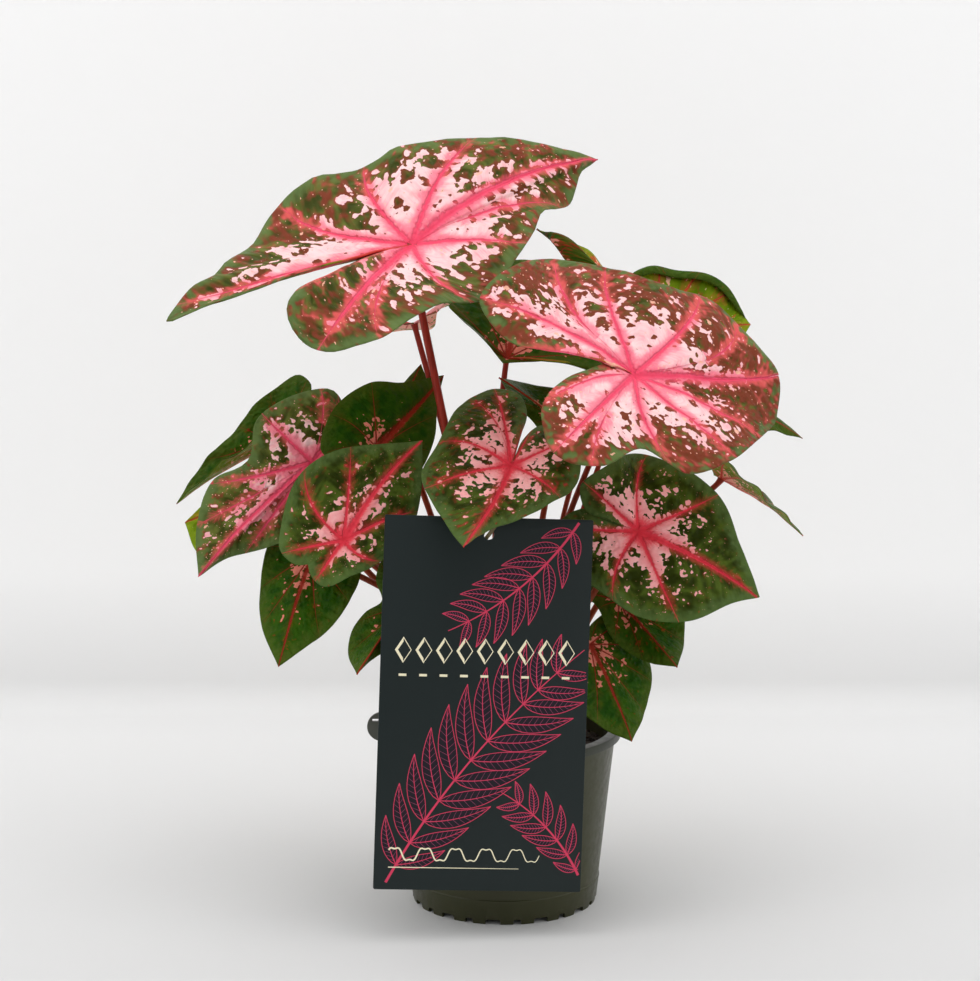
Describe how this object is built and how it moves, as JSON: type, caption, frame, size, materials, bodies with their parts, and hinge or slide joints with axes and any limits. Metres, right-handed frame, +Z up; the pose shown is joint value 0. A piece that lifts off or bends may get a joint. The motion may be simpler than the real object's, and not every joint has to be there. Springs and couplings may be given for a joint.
{
  "type": "potted caladium plant",
  "caption": "Leafy foliage plant with heart-shaped, pink-blotched leaves on slender stalks, rooted in peat in a small tapered nursery pot with a leaning hang tag.",
  "frame": {"origin": "middle of the pot's foot, on the surface that the pot stands on", "axes": "+Z up, +X to the right and -Y towards a viewer who looks at the tag"},
  "size_m": [0.321, 0.208, 0.3823],
  "materials": {
    "pot_plastic": "satin dark olive-grey moulded plastic",
    "tuber": "rough corky skin",
    "peat": "rough dark peat",
    "tag_plastic": "smooth satin dark slate sheet, printed with fine pink lines",
    "tie_plastic": "thin olive-brown plastic ring",
    "leaf": "satin living leaf, deep green with pale pink blotches and pink veins",
    "stalk": "smooth maroon leaf stalk"
  },
  "bodies": {
    "root": {"pot": "pot_plastic", "tuber": "tuber", "potting_mix": "peat", "tag": "tag_plastic", "tag_tie": "tie_plastic", "blade_crown_left": "leaf", "stalk_crown_left": "stalk", "blade_crown_right": "leaf", "stalk_crown_right": "stalk", "blade_back_centre": "leaf", "stalk_back_centre": "stalk", "blade_back_high": "leaf", "stalk_back_high": "stalk", "blade_back_right": "leaf", "stalk_back_right": "stalk", "blade_under_crown": "leaf", "stalk_under_crown": "stalk", "blade_far_left": "leaf", "stalk_far_left": "stalk", "blade_left": "leaf", "stalk_left": "stalk", "blade_left_behind": "leaf", "stalk_left_behind": "stalk", "blade_left_upright": "leaf", "stalk_left_upright": "stalk", "blade_front_left": "leaf", "stalk_front_left": "stalk", "blade_low_left": "leaf", "stalk_low_left": "stalk", "blade_beside_tag": "leaf", "stalk_beside_tag": "stalk", "blade_front": "leaf", "stalk_front": "stalk", "blade_inner": "leaf", "stalk_inner": "stalk", "blade_right": "leaf", "stalk_right": "stalk", "blade_low_right": "leaf", "stalk_low_right": "stalk", "blade_over_rim": "leaf", "stalk_over_rim": "stalk", "blade_far_right": "leaf", "stalk_far_right": "stalk", "blade_right_behind": "leaf", "stalk_right_behind": "stalk", "blade_back_left": "leaf", "stalk_back_left": "stalk"}
  },
  "joints": []
}
